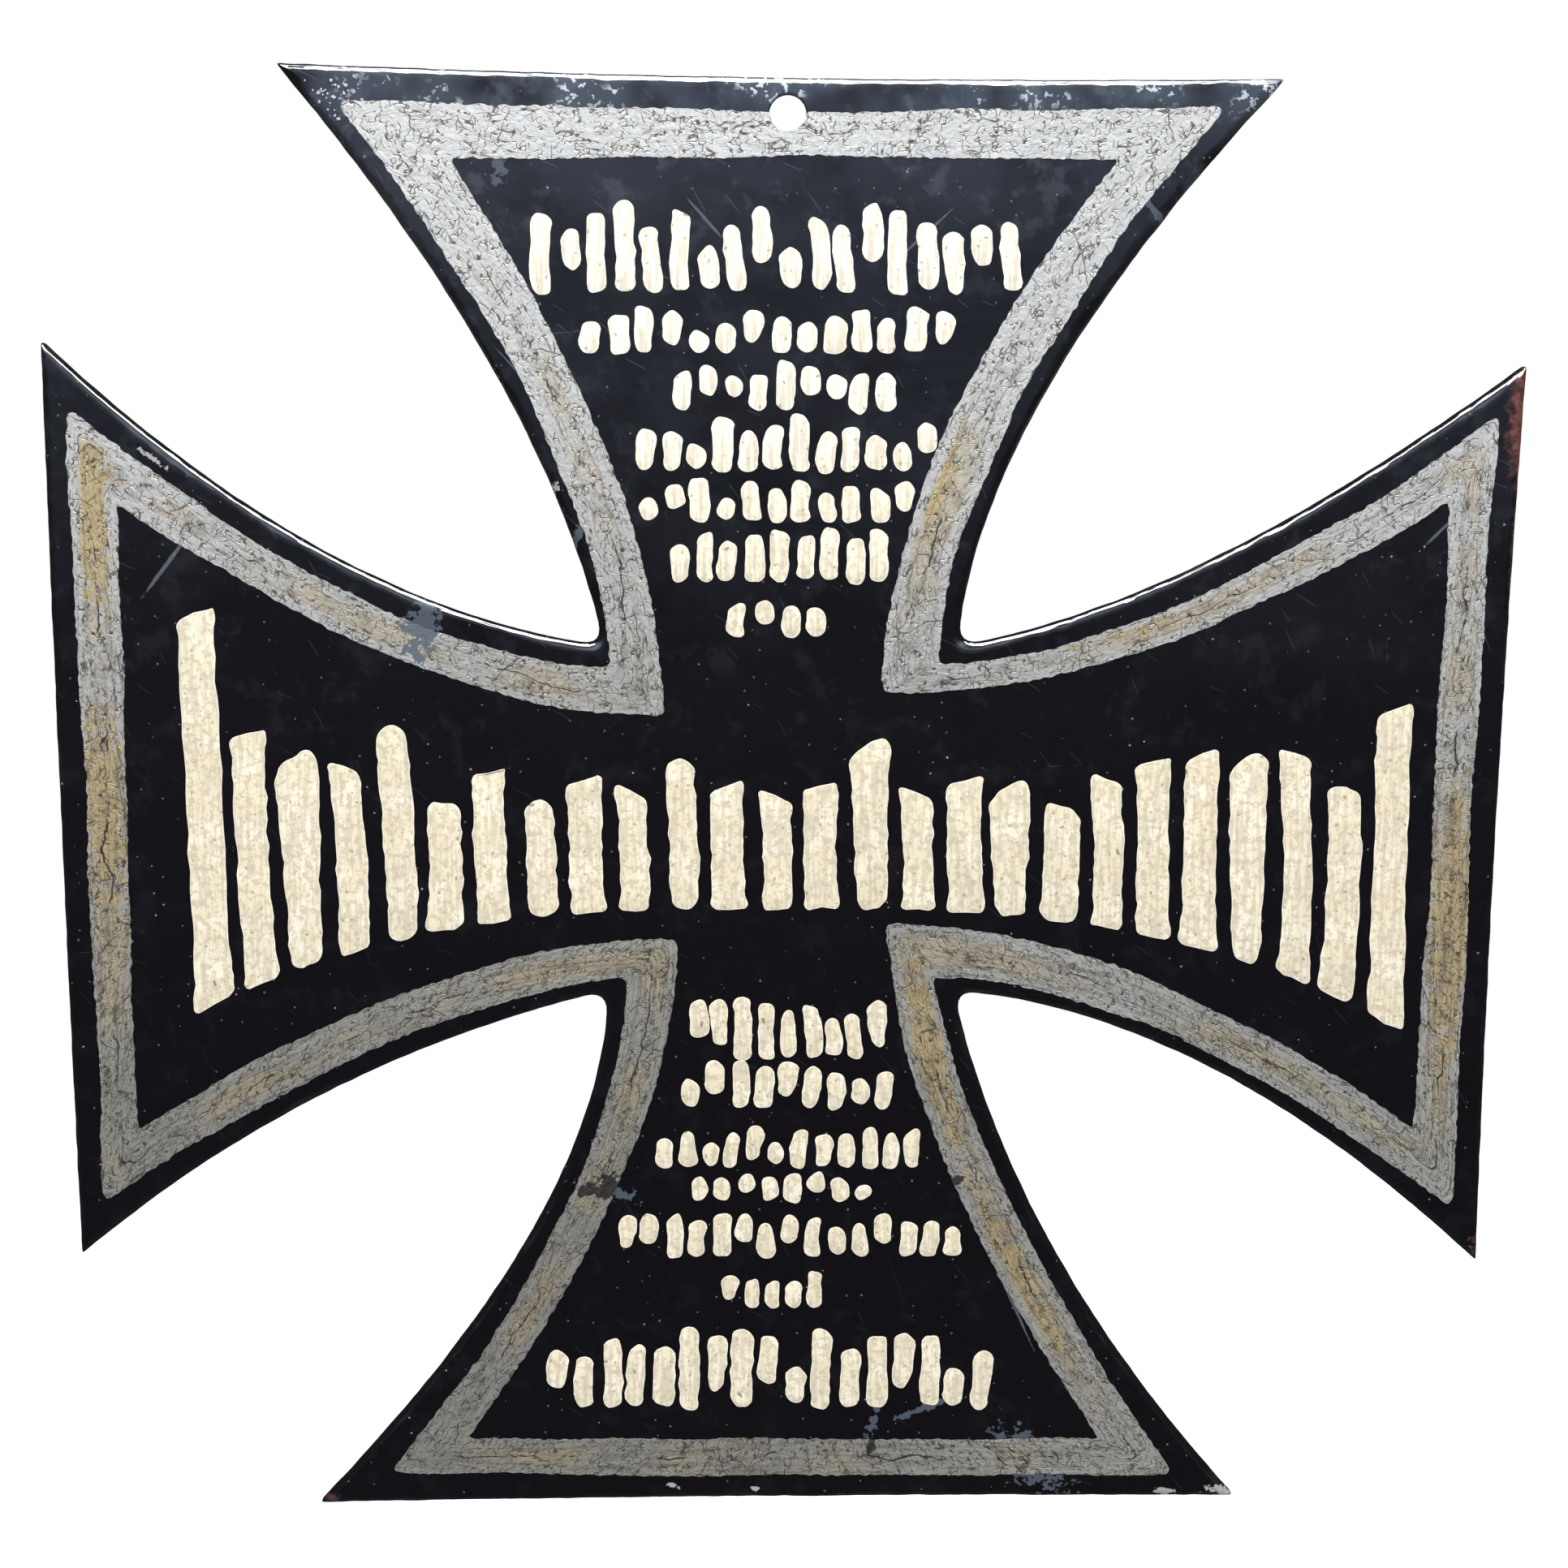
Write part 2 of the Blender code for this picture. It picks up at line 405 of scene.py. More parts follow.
def select_faces(shape, keep):
    """Selects the faces that pass the test, and nothing else."""
    bpy.ops.mesh.select_mode(type="FACE")
    for face in shape.faces:
        face.select = keep(face)
    shape.select_flush_mode()
    bmesh.update_edit_mesh(bpy.context.object.data)


def settle():
    """Moves the active object's place, turn and scale into its mesh."""
    bpy.ops.object.transform_apply(location=True, rotation=True, scale=True)


def modify(kind, name, **settings):
    """Adds a modifier to the active object, sets it up and applies it."""
    thing = bpy.context.object
    made = thing.modifiers.new(name, kind)
    for key, value in settings.items():
        setattr(made, key, value)
    bpy.ops.object.modifier_apply(modifier=made.name)


def clouds(name, size, **settings):
    """A texture that Displace modifiers read."""
    made = bpy.data.textures.new(name, "CLOUDS")
    made.noise_scale = size
    for key, value in settings.items():
        setattr(made, key, value)
    return made


def cut_hole(thing):
    """Drills the hanging hole through the object, along the Y axis."""
    bpy.ops.mesh.primitive_cylinder_add(vertices=DRILL_SIDES, radius=sizes().hole / 2, depth=DRILL_LENGTH,
                                        rotation=(math.radians(90), 0, 0))
    settle()
    bit = active("drill")
    clear()
    thing.select_set(True)
    bpy.context.view_layer.objects.active = thing
    modify("BOOLEAN", "hanging_hole", operation="DIFFERENCE", solver="EXACT", object=bit)
    bpy.data.objects.remove(bit)


def front_group(thing, name, weigh):
    """A vertex group whose weight at each vertex comes from its place."""
    group = thing.vertex_groups.new(name=name)
    for vertex in thing.data.vertices:
        weight = weigh(vertex)
        if weight > 0:
            group.add([vertex.index], weight, "REPLACE")
    return group.name


def join(piece, material, smooth):
    """Gives a finished piece its shading, material and body."""
    clear()
    piece.select_set(True)
    bpy.context.view_layer.objects.active = piece
    bpy.ops.object.shade_smooth_by_angle(angle=math.radians(smooth))
    piece.data.materials.clear()
    piece.data.materials.append(material)
    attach(piece, "root")


# Shader nodes

MARK_DEPTH = 0.002  # how far a mark reaches into the plate's edge


class Nodes:
    """Adds shader nodes to a tree, links what they are given and gives back an output of each."""

    def __init__(self, tree):
        self.tree = tree

    def add(self, kind, inputs=(), output=0, **settings):
        node = self.tree.nodes.new("ShaderNode" + kind)
        for key, value in settings.items():
            setattr(node, key, value)
        for key, value in dict(inputs).items():
            self.give(node.inputs[key], value)
        return node.outputs[output]

    def give(self, socket, value):
        if isinstance(value, bpy.types.NodeSocket):
            self.tree.links.new(value, socket)
        else:
            socket.default_value = value

    def maths(self, operation, *values, clamp=False):
        return self.add("Math", dict(enumerate(values)), operation=operation, use_clamp=clamp)

    def linear(self, value, slope, base):
        return self.maths("MULTIPLY_ADD", value, slope, base)

    def minus(self, first, second):
        return self.maths("SUBTRACT", first, second)

    def magnitude(self, value):
        return self.maths("ABSOLUTE", value)

    def vector(self, operation, *values, output=0):
        return self.add("VectorMath", dict(enumerate(values)), output, operation=operation)

    def times(self, *values):
        found = values[0]
        for value in values[1:]:
            found = self.maths("MULTIPLY", found, value)
        return found

    def most(self, *values):
        found = values[0]
        for value in values[1:]:
            found = self.maths("MAXIMUM", found, value)
        return found

    def fade(self, value, low, high, start=0.0, end=1.0):
        """Runs smoothly from start to end while the value goes from low to high."""
        return self.add("MapRange", {"Value": value, "From Min": low, "From Max": high, "To Min": start,
                                     "To Max": end}, interpolation_type="SMOOTHSTEP")

    def mix(self, factor, first, second):
        return self.add("Mix", {0: factor, 6: first, 7: second}, 2, data_type="RGBA")

    def layers(self, colour, *layers):
        """Lays colours over one another, each as thick as its factors, multiplied."""
        for *factors, over in layers:
            colour = self.mix(self.times(*factors), colour, over)
        return colour

    def bump(self, strength, depth, height):
        return self.add("Bump", {"Strength": strength, "Distance": depth, "Height": height})

    def scaled(self, vector, scale, move=(0, 0, 0)):
        return self.add("Mapping", {"Vector": vector, "Scale": scale, "Location": move})

    def noise(self, vector, scale, detail=2.0, roughness=0.5, output=0):
        """A noise in the plane of the plate."""
        given = {"Vector": vector, "Scale": scale, "Detail": detail, "Roughness": roughness}
        return self.add("TexNoise", given, output, noise_dimensions="2D")

    def apart(self, vector):
        node = self.tree.nodes.new("ShaderNodeSeparateXYZ")
        self.tree.links.new(vector, node.inputs[0])
        return node.outputs

    def group(self, tree, output=0, **inputs):
        node = self.tree.nodes.new("ShaderNodeGroup")
        node.node_tree = tree
        for key, value in inputs.items():
            self.give(node.inputs[key.replace("_", " ").capitalize()], value)
        return node.outputs[output]


def new_group(name, inputs, outputs):
    """A node group with the given sockets, its node builder and its two ends."""
    tree = bpy.data.node_groups.new(name, "ShaderNodeTree")
    for socket, kind, value in inputs:
        made = tree.interface.new_socket(socket, in_out="INPUT", socket_type="NodeSocket" + kind)
        if value is not None:
            made.default_value = value
    for socket, kind in outputs:
        tree.interface.new_socket(socket, in_out="OUTPUT", socket_type="NodeSocket" + kind)
    given = tree.nodes.new("NodeGroupInput").outputs
    taken = tree.nodes.new("NodeGroupOutput").inputs
    return tree, Nodes(tree), given, taken


def mark_group():
    """A ragged oval patch: one where the vector is inside it, nothing outside."""
    tree, build, given, taken = new_group(
        "Mark", [("Vector", "Vector", None), ("Rough", "Float", 0), ("Place", "Vector", (0, 0, 0)),
                 ("Across", "Vector", (1, 0, 0)), ("Up", "Vector", (0, 1, 0)), ("Ragged", "Float", 2.4),
                 ("Soft", "Float", 0.3)], [("Mask", "Float")])
    local = build.vector("SUBTRACT", given["Vector"], given["Place"])
    axes = (given["Across"], given["Up"], (0, 0, 1 / MARK_DEPTH))
    parts = [build.vector("DOT_PRODUCT", local, axis, output="Value") for axis in axes]
    away = build.vector("LENGTH", build.add("CombineXYZ", dict(enumerate(parts))), output="Value")
    edge = build.linear(given["Rough"], given["Ragged"], away)
    tree.links.new(build.fade(edge, build.minus(1, given["Soft"]), 1.0, 1, 0), taken["Mask"])
    return tree


def flecks_group():
    """Short marks, one or none in each cell of a plane, each turned and sized at random."""
    tree, build, given, taken = new_group(
        "Flecks", [("Vector", "Vector", None), ("Per metre", "Float", 100), ("Length", "Float", 0.003),
                   ("Width", "Float", 0.0001), ("Share", "Float", 0.5), ("Lean", "Float", 0),
                   ("Spread", "Float", 6.28), ("Bow", "Float", 0)], [("Mask", "Float"), ("Tone", "Float")])
    cells = tree.nodes.new("ShaderNodeTexVoronoi")
    cells.voronoi_dimensions = "2D"
    tree.links.new(given["Vector"], cells.inputs["Vector"])
    tree.links.new(given["Per metre"], cells.inputs["Scale"])
    local = build.vector("SUBTRACT", given["Vector"], cells.outputs["Position"])
    chance = tree.nodes.new("ShaderNodeSeparateColor")
    tree.links.new(cells.outputs["Color"], chance.inputs[0])
    red, green, blue = chance.outputs
    angle = build.linear(build.minus(red, 0.5), given["Spread"], given["Lean"])
    turned = build.apart(build.add("VectorRotate", {"Vector": local, "Angle": angle}, rotation_type="Z_AXIS"))
    bend = build.times(turned["Y"], turned["Y"], build.minus(green, 0.5), given["Bow"])
    size = build.linear(green, 0.7, 0.4)
    across = build.maths("DIVIDE", build.magnitude(build.maths("ADD", turned["X"], bend)),
                         build.times(given["Width"], size))
    along = build.maths("DIVIDE", build.magnitude(turned["Y"]), build.times(given["Length"], size))
    there = build.maths("LESS_THAN", blue, given["Share"])
    mask = build.times(build.fade(across, 0.5, 1.0, 1, 0), build.fade(along, 0.6, 1.0, 1, 0), there)
    tree.links.new(mask, taken["Mask"])
    tree.links.new(green, taken["Tone"])
    return tree


def creases_group():
    """Wandering creases: thin lines where a noise crosses its middle, broken up by a second noise."""
    tree, build, given, taken = new_group(
        "Creases", [("Vector", "Vector", None), ("Per metre", "Float", 600), ("Thin", "Float", 0.1),
                    ("Broken", "Float", 0.5)], [("Mask", "Float")])
    field = build.noise(given["Vector"], given["Per metre"], 1)
    away = build.magnitude(build.minus(field, 0.5))
    shifted = build.scaled(given["Vector"], (1, 1, 1), (7.3, 2.9, 4.1))
    breaks = build.noise(shifted, build.times(given["Per metre"], 0.7), 0)
    kept = build.fade(breaks, given["Broken"], build.maths("ADD", given["Broken"], 0.1))
    tree.links.new(build.times(build.fade(away, 0.0, given["Thin"], 1, 0), kept), taken["Mask"])
    return tree


def cracks_group():
    """Branching cracks: the borders of uneven cells, broken up by a noise."""
    tree, build, given, taken = new_group(
        "Cracks", [("Vector", "Vector", None), ("Per metre", "Float", 250), ("Thin", "Float", 0.06),
                   ("Broken", "Float", 0.5)], [("Mask", "Float")])
    wander = build.noise(given["Vector"], build.times(given["Per metre"], 1.6), 1, output=1)
    reach = build.maths("DIVIDE", 0.55, given["Per metre"])
    shift = build.vector("SUBTRACT", wander, (0.5, 0.5, 0.5))
    bent = build.vector("MULTIPLY_ADD", shift, build.add("CombineXYZ", {0: reach, 1: reach, 2: reach}),
                        given["Vector"])
    away = build.add("TexVoronoi", {"Vector": bent, "Scale": given["Per metre"]}, feature="DISTANCE_TO_EDGE",
                     voronoi_dimensions="2D")
    breaks = build.noise(given["Vector"], build.times(given["Per metre"], 0.9), 1)
    kept = build.fade(breaks, given["Broken"], build.maths("ADD", given["Broken"], 0.08))
    tree.links.new(build.times(build.fade(away, 0.0, given["Thin"], 1, 0), kept), taken["Mask"])
    return tree


def groups():
    """The four shared effects, each built once."""
    makers = {"Mark": mark_group, "Flecks": flecks_group, "Creases": creases_group, "Cracks": cracks_group}
    return [bpy.data.node_groups.get(name) or make() for name, make in makers.items()]


def new_material(name, shown):
    """A material, its node builder, its shader's inputs and the object's own coordinates."""
    material = bpy.data.materials.new(name)
    material.use_nodes = True
    material.diffuse_color = shown
    tree = material.node_tree
    build = Nodes(tree)
    shader = tree.nodes["Principled BSDF"]
    where = build.add("TexCoord", output="Object")
    return material, build, shader.inputs, where


def flat_view(build, where):
    """The object's coordinates laid flat as seen from the front: across, up, depth."""
    x, y, z = build.apart(where)
    return build.add("CombineXYZ", {"X": x, "Y": z, "Z": y}), x, y, z


def marks(build, tree, flat, rough, wanted, **common):
    """The greatest of several marks, each given by its place, half sizes and turn in the plate's plane."""
    found = []
    for x, z, half_x, half_z, turn in wanted:
        at = place(x, z)
        cosine, sine = math.cos(math.radians(turn)), math.sin(math.radians(turn))
        found.append(build.group(tree, vector=flat, rough=rough, place=(at.x, at.z, -0.003),
                                 across=(cosine / half_x, -sine / half_x, 0),
                                 up=(sine / half_z, cosine / half_z, 0), **common))
    return build.most(*found)


def enamel_material():
    material, build, shader, where = new_material("black_enamel", colours().enamel)
    mark, flecks = groups()[:2]
    flat, _, y, z = flat_view(build, where)
    front = build.fade(y, -0.0022, -0.0014, 1, 0)
    rough = build.minus(build.noise(flat, 560, 2, 0.7), 0.5)

    cloudy = build.noise(flat, 42, 3, 0.62)
    # high and top are painted sheen: they make the enamel's bluish haze, smudges, scuffs and tints stronger
    # towards the top, where it mirrors the bright sky.
    high = build.fade(z, -0.13, 0.002)
    top = build.fade(z, -0.03, 0.003)
    dust_and_sheen = build.times(build.fade(cloudy, 0.36, 0.7), high)
    smudges = build.fade(build.noise(flat, 130, 3, 0.7), 0.52, 0.72)
    scuffs = build.group(flecks, vector=flat, per_metre=150.0, length=0.0022, width=0.00013, share=0.4,
                         lean=-0.8, spread=0.9, bow=30.0)
    hairs = build.group(flecks, vector=flat, per_metre=60.0, length=0.006, width=0.00009, share=0.14,
                        lean=0.75, spread=2.4, bow=22.0)
    dots = build.group(flecks, vector=flat, per_metre=430.0, length=0.0002, width=0.0002, share=0.13)
    # Painted highlights: pale glints along the top margin.
    painted_glints = build.fade(build.noise(flat, 620, 2, 0.7), 0.57, 0.62)
    painted_glints = build.times(painted_glints, build.fade(cloudy, 0.5, 0.58), build.fade(z, -0.002, 0.0045), front)

    rim = build.add("Attribute", output="Fac", attribute_name="arris_mask")
    worn = build.times(rim, build.fade(cloudy, 0.56, 0.7))

    colour = build.layers(
        colours().enamel,
        # Dust with a painted sheen: the bluish haze and smudges grow towards the top.
        (dust_and_sheen, 0.075, colours().dust_and_sheen),
        (smudges, build.linear(high, 0.06, 0.02), colours().dust_and_sheen),
        # Painted reflection: a bluish tint over the top of the plate.
        (top, build.fade(cloudy, 0.3, 0.6), 0.16, (0.06, 0.075, 0.105, 1)),
        (scuffs, front, build.linear(high, 0.1, 0.03), (0.2, 0.24, 0.3, 1)),
        (worn, 0.2, (0.05, 0.04, 0.04, 1)),
        (hairs, front, smudges, 0.2, (0.2, 0.22, 0.25, 1)),
        (dots, build.linear(smudges, 0.6, 0.2), (0.4, 0.4, 0.41, 1)),
        # Painted reflection: bluish tints along the top margin and over the top.
        (build.fade(z, -0.004, 0.003), build.fade(cloudy, 0.3, 0.6), 0.3, (0.1, 0.125, 0.165, 1)),
        (top, smudges, 0.2, (0.13, 0.15, 0.19, 1)),
        # Painted highlights: the glints.
        (painted_glints, 0.75, (0.6, 0.64, 0.7, 1)))

    reddish = marks(build, mark, flat, rough, [(0.1256, 0.069, 0.0038, 0.016, 0)], ragged=1.2, soft=1.0)
    reddish = build.times(reddish, build.fade(cloudy, 0.3, 0.5, 0.5, 1))
    russet = marks(build, mark, flat, rough, [
        (-0.0825, -0.125, 0.003, 0.0016, 20), (0.1236, -0.077, 0.0012, 0.0022, 0),
        (0.1249, -0.06, 0.0006, 0.01, 0), (0.0835, -0.1235, 0.0016, 0.0012, 30),
        (0.1245, 0.045, 0.0006, 0.01, 0)], soft=0.7)
    pale_chips = marks(build, mark, flat, rough, [
        (0.0801, -0.1235, 0.0026, 0.0009, 20), (0.0698, -0.1236, 0.0022, 0.0007, 0),
        (-0.0195, -0.1226, 0.001, 0.0007, 0), (-0.0047, -0.1231, 0.0011, 0.0005, 0),
        (-0.0388, 0.0563, 0.0009, 0.002, 22), (-0.1064, 0.0624, 0.0024, 0.0005, 35)], ragged=3.2)
    blue_scuffs = marks(build, mark, flat, rough, [
        (-0.0612, 0.034, 0.0028, 0.0056, 12), (0.0453, -0.1176, 0.008, 0.0042, 35),
        (0.0165, -0.111, 0.0009, 0.005, 12), (0.026, -0.1075, 0.0055, 0.0007, -22),
        (-0.031, -0.067, 0.006, 0.0012, 10), (-0.077, 0.1085, 0.0015, 0.006, 40),
        (-0.066, 0.093, 0.001, 0.006, 36), (-0.052, 0.071, 0.0012, 0.0045, 34),
        (-0.0465, 0.109, 0.0012, 0.0026, 5), (0.061, 0.104, 0.0006, 0.005, -40),
        (-0.035, 0.0484, 0.0009, 0.0028, 18)], ragged=3.0)
    long_cuts = marks(build, mark, flat, rough, [
        (-0.1044, 0.0444, 0.0004, 0.0075, 38), (0.0325, -0.057, 0.00025, 0.011, -18),
        (0.0395, -0.083, 0.0003, 0.016, -24), (-0.0125, 0.1015, 0.0003, 0.005, -42),
        (-0.041, 0.073, 0.0002, 0.012, -42), (0.024, 0.099, 0.00025, 0.007, 48),
        (0.112, 0.05, 0.0003, 0.004, 45)], ragged=0.5)
    # The nibs that stand proud of the face are painted pale: partly dust, partly painted glints.
    dust_and_glint = build.fade(y, -0.00292, -0.00284, 1, 0)
    colour = build.layers(
        colour,
        (reddish, 0.6, colours().rust),
        (russet, 0.7, (0.075, 0.035, 0.04, 1)),
        (blue_scuffs, 0.65, (0.08, 0.1, 0.13, 1)),
        (pale_chips, 0.75, (0.4, 0.39, 0.38, 1)),
        (long_cuts, 0.4, (0.17, 0.19, 0.21, 1)),
        # Pale dust with painted glints on the nibs.
        (dust_and_glint, 0.8, (0.5, 0.52, 0.55, 1)))
    build.give(shader["Base Color"], colour)

    build.give(shader["Coat Weight"], build.times(rim, build.linear(worn, -0.8, 1)))
    shader["Coat IOR"].default_value = 2.3
    shader["Coat Roughness"].default_value = 0.05
    gloss = build.linear(smudges, 0.1, 0.13)
    gloss = build.linear(dust_and_sheen, 0.05, gloss)
    gloss = build.maths("ADD", gloss, build.times(build.most(pale_chips, reddish, russet, blue_scuffs), 0.25))
    build.give(shader["Roughness"], gloss)

    height = build.linear(build.noise(flat, 70, 0), 3.0, build.times(build.noise(flat, 420, 0), 0.4))
    build.give(shader["Normal"], build.bump(1.0, 0.00005, height))
    return material


def silver_material():
    material, build, shader, where = new_material("silver_paint", colours().silver)
    mark, flecks, creases, cracks = groups()
    along = build.add("UVMap", uv_map="line")
    _, v, _ = build.apart(along)
    flat, x, _, z = flat_view(build, where)
    rough = build.minus(build.noise(flat, 420, 3, 0.65), 0.5)
    drift = build.noise(build.scaled(along, (1, 0, 0)), 110, 2)
    wander = build.times(build.minus(drift, 0.5), 0.006)
    middle = build.magnitude(build.maths("ADD", v, build.times(wander, 0.6)))
    # low is painted shade: it darkens the silver towards the bottom, more on the left than the right, and
    # strengthens the dark folds and brush streaks there, as the light falls from above and the right.
    low = build.fade(z, -0.19, 0.0, 1, 0)
    core = build.times(build.fade(middle, 0.0025, 0.0042, 1, 0), build.fade(z, -0.045, -0.015, 1, 0))

    squiggles = build.group(creases, vector=flat, per_metre=640.0, thin=0.05, broken=0.4)
    runs = build.group(creases, vector=build.scaled(along, (0.7, 1.7, 1)), per_metre=400.0, thin=0.055,
                       broken=0.45)
    folds = build.group(creases, vector=build.scaled(along, (2.1, 0.75, 1)), per_metre=440.0, thin=0.06,
                        broken=0.38)
    long_cracks = build.group(cracks, vector=flat, per_metre=190.0, thin=0.05, broken=0.55)
    pits = build.group(flecks, vector=along, per_metre=1300.0, length=0.0003, width=0.0002, share=0.45)
    seam_way = build.magnitude(build.minus(v, build.linear(rough, 0.0009, wander)))
    seam = build.times(build.fade(seam_way, 0.0001, 0.00032, 1, 0),
                       build.fade(build.noise(along, 52, 1), 0.5, 0.56), build.fade(z, -0.03, -0.01, 1, 0))

    border = build.magnitude(build.minus(middle, build.linear(rough, 0.0009, 0.0028)))
    border = build.times(build.fade(border, 0.00008, 0.0003, 1, 0),
                         build.fade(build.noise(along, 75, 1), 0.42, 0.5),
                         build.fade(z, -0.045, -0.015, 1, 0))
    brushed = build.fade(build.noise(build.scaled(along, (75, 1500, 1)), 1.0, 2, 0.6), 0.47, 0.6)
    warm = build.fade(build.noise(flat, 40, 2, 0.55), 0.4, 0.62)
    named = marks(build, mark, flat, rough, [
        (-0.1173, 0.055, 0.006, 0.026, 0), (-0.1168, 0.002, 0.005, 0.024, 0),
        (0.0258, 0.0588, 0.005, 0.018, 14), (0.0269, -0.0405, 0.0075, 0.024, -12),
        (0.1173, -0.0198, 0.006, 0.034, 0), (0.0415, -0.084, 0.0065, 0.026, -28),
        (0.0625, 0.0375, 0.02, 0.006, -22)], ragged=1.6, soft=0.6)
    broad = build.fade(middle, 0.0034, 0.0048, 1, 0)
    yellow = build.most(build.times(named, broad), build.times(warm, core, 0.45))
    soot = build.fade(build.noise(flat, 300, 2, 0.65), 0.48, 0.7)

    dark = build.most(squiggles, runs, build.times(folds, build.fade(low, 0, 1, 0.45, 1)), long_cracks,
                      build.times(pits, core, 0.6), build.times(border, 0.7))
    chip = marks(build, mark, flat, rough, [(-0.0612, 0.034, 0.0028, 0.0056, 12)], ragged=3.2, soft=0.1)
    smear = marks(build, mark, flat, rough, [
        (-0.032, -0.067, 0.0062, 0.0013, 10), (0.0165, -0.1135, 0.0008, 0.003, 12),
        (-0.0305, -0.0655, 0.0022, 0.0026, 20), (0.0314, -0.0648, 0.0012, 0.0008, 0)], ragged=3.0, soft=0.25)
    cuts = build.times(build.group(flecks, vector=flat, per_metre=420.0, length=0.003,
                                   width=0.0002, share=0.7, lean=-0.75, spread=0.25),
                       marks(build, mark, flat, rough, [(0.0453, -0.1176, 0.009, 0.005, 35)]))
    bare = build.most(smear, cuts, seam)
    colour = build.layers(
        colours().silver,
        # Painted shade: darker and warmer towards the bottom, more so on the left.
        (low, build.fade(x, -0.01, 0.06, 0.75, 0.5), (0.27, 0.26, 0.22, 1)),
        (yellow, 0.92, colours().gold),
        (brushed, build.fade(low, 0, 1, 0.12, 0.5), (0.22, 0.2, 0.15, 1)),
        (soot, build.linear(core, 0.3, 0.12), (0.13, 0.12, 0.09, 1)),
        (dark, 0.95, (0.02, 0.017, 0.015, 1)),
        (chip, (0.09, 0.11, 0.14, 1)),
        (bare, 0.95, (0.01, 0.009, 0.009, 1)))
    build.give(shader["Base Color"], colour)
    build.give(shader["Metallic"], build.linear(build.most(bare, chip, dark), -0.6, 0.62))
    build.give(shader["Roughness"], build.linear(build.most(soot, dark), 0.2, 0.38))

    height = build.minus(build.noise(flat, 1100, 1, 0.6), squiggles)
    build.give(shader["Normal"], build.bump(1.0, 0.00007, height))
    return material


def cream_material():
    material, build, shader, where = new_material("cream_paint", colours().cream)
    flecks = groups()[1]
    flat, _, _, z = flat_view(build, where)
    streaks = build.noise(build.scaled(flat, (1300, 120, 1)), 1.0, 2, 0.6)
    mottle = build.noise(flat, 800, 2, 0.75)
    blotch = build.noise(flat, 170, 2, 0.6)
    # The cream is drawn darker and yellower towards the bottom, with its blotches and mottling stronger
    # there.
    low = build.fade(z, -0.11, -0.03, 1, 0)
    specks = build.group(flecks, vector=flat, per_metre=420.0, length=0.00036, width=0.00024, share=0.4)
    pits = build.group(flecks, vector=flat, per_metre=130.0, length=0.0006, width=0.0003, share=0.16)
    # Painted highlight: the rims of the strokes are drawn paler.
    lip_highlight = build.fade(build.add("Attribute", output="Fac", attribute_name="lip_highlight"), 0.2, 0.9)

    colour = build.layers(
        colours().cream,
        (low, colours().cream_low),
        (build.fade(blotch, 0.46, 0.62), build.fade(low, 0, 1, 0.2, 0.7), (0.74, 0.69, 0.56, 1)),
        (build.fade(mottle, 0.47, 0.63), build.fade(low, 0, 1, 0.2, 0.6), (0.4, 0.33, 0.22, 1)),
        (build.fade(streaks, 0.46, 0.6), 0.5, (0.44, 0.38, 0.29, 1)),
        # Painted highlight on the rims.
        (lip_highlight, 0.6, (0.8, 0.77, 0.68, 1)),
        (specks, 0.6, (0.2, 0.15, 0.09, 1)),
        (pits, 0.7, (0.09, 0.065, 0.045, 1)))
    build.give(shader["Base Color"], colour)
    build.give(shader["Roughness"], build.linear(mottle, 0.3, 0.38))
    height = build.maths("ADD", streaks, mottle)
    build.give(shader["Normal"], build.bump(0.6, 0.00007, height))
    return material


def floor_material():
    material, _, shader, _ = new_material("pale_floor", (0.9, 0.9, 0.9, 1))
    shader["Base Color"].default_value = (0.9, 0.9, 0.9, 1)
    shader["Roughness"].default_value = 0.8
    shader["Emission Color"].default_value = (1, 1, 1, 1)
    shader["Emission Strength"].default_value = 0.7
    return material


# Pieces


